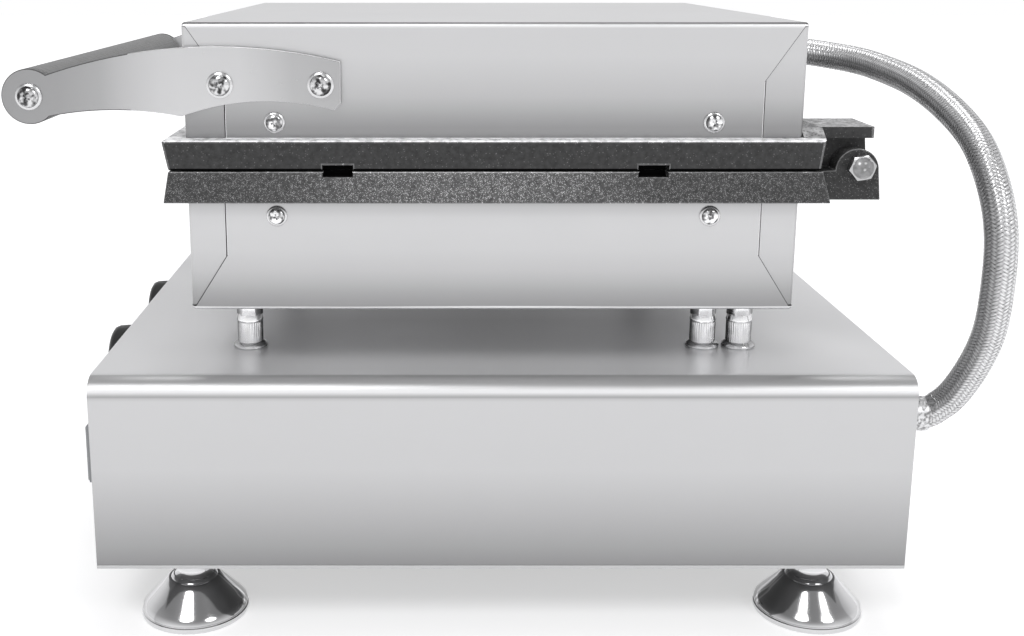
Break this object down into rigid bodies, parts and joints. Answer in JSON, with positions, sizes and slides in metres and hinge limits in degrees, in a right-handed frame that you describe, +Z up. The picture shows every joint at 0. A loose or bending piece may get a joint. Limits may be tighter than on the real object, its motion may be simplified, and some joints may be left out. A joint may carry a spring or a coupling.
{
  "type": "waffle cone maker",
  "caption": "Countertop waffle cone maker: steel base on bell feet, hinged cast baking plates in boxed housings, bail handle and braided conduit.",
  "frame": {"origin": "centre of the bounding box at the floor, under the feet", "axes": "+Z up, -Y to the front where the handle and the controls are, +X to the right of a person who stands at the front"},
  "size_m": [0.267, 0.3992, 0.2479],
  "materials": {
    "sheet_steel": "satin stainless sheet",
    "inner_steel": "plain steel",
    "chrome": "bright",
    "cast_plate": "dark sand-cast, coated",
    "grip_plastic": "satin dark grey",
    "black_plastic": "satin black",
    "clear_cover": "soft clear",
    "green_lens": "gloss",
    "amber_lens": "gloss",
    "white_ceramic": "smooth",
    "mineral_wool": "fibrous",
    "steel_braid": "woven wire braid"
  },
  "bodies": {
    "base": {"base_cover": "sheet_steel", "front_panel": "sheet_steel", "rear_panel": "sheet_steel", "bottom_plate": "sheet_steel", "lower_housing": "sheet_steel", "lower_heater_clamp": "inner_steel", "lower_heater": "inner_steel", "foot_front_left": "chrome", "foot_front_right": "chrome", "foot_rear_left": "chrome", "foot_rear_right": "chrome", "foot_bolts": "chrome", "support_legs": "chrome", "leg_bolts": "chrome", "wiring_tube": "chrome", "lower_housing_screws": "chrome", "hinge_bolts": "chrome", "hinge_nuts": "chrome", "lower_clamp_bolts": "chrome", "earth_stud": "chrome", "base_conduit_fitting": "chrome", "lower_plate": "cast_plate", "timer_body": "black_plastic", "thermostat_body": "black_plastic", "switch_body": "black_plastic", "cable_gland": "black_plastic", "switch_cover": "clear_cover", "power_lamp": "green_lens", "heating_lamp": "amber_lens", "terminal_block": "white_ceramic", "lower_insulation": "mineral_wool", "conduit": "steel_braid"},
    "lid": {"upper_housing": "sheet_steel", "upper_housing_screws": "chrome", "upper_plate": "cast_plate", "upper_heater": "inner_steel", "upper_heater_clamp": "inner_steel", "upper_clamp_bolts": "chrome", "upper_insulation": "mineral_wool", "left_handle_arm": "sheet_steel", "right_handle_arm": "sheet_steel", "grip": "grip_plastic", "grip_screws": "chrome", "arm_screws": "chrome", "arm_spacers": "chrome", "arm_nuts": "chrome", "lid_conduit_fitting": "chrome"},
    "timer": {"timer_knob": "black_plastic", "timer_shaft": "chrome"},
    "thermostat": {"thermostat_knob": "black_plastic", "thermostat_shaft": "chrome"},
    "rocker": {"switch_rocker": "black_plastic"}
  },
  "joints": [
    {"name": "lid_hinge", "type": "hinge", "parent": "base", "child": "lid", "pos_m": [0, 0.13205, 0.1922], "axis": [-1, 0, 0], "range_deg": [0, 95], "deforming": ["conduit"]},
    {"name": "timer_turn", "type": "hinge", "parent": "base", "child": "timer", "pos_m": [0.012, -0.17135, 0.08], "axis": [0, 1, 0], "range_deg": [0, 300]},
    {"name": "thermostat_turn", "type": "hinge", "parent": "base", "child": "thermostat", "pos_m": [-0.076, -0.17135, 0.08], "axis": [0, 1, 0], "range_deg": [0, 270]},
    {"name": "rocker_tilt", "type": "hinge", "parent": "base", "child": "rocker", "pos_m": [0.106, -0.16885, 0.072], "axis": [1, 0, 0], "range_deg": [0, 24]}
  ]
}
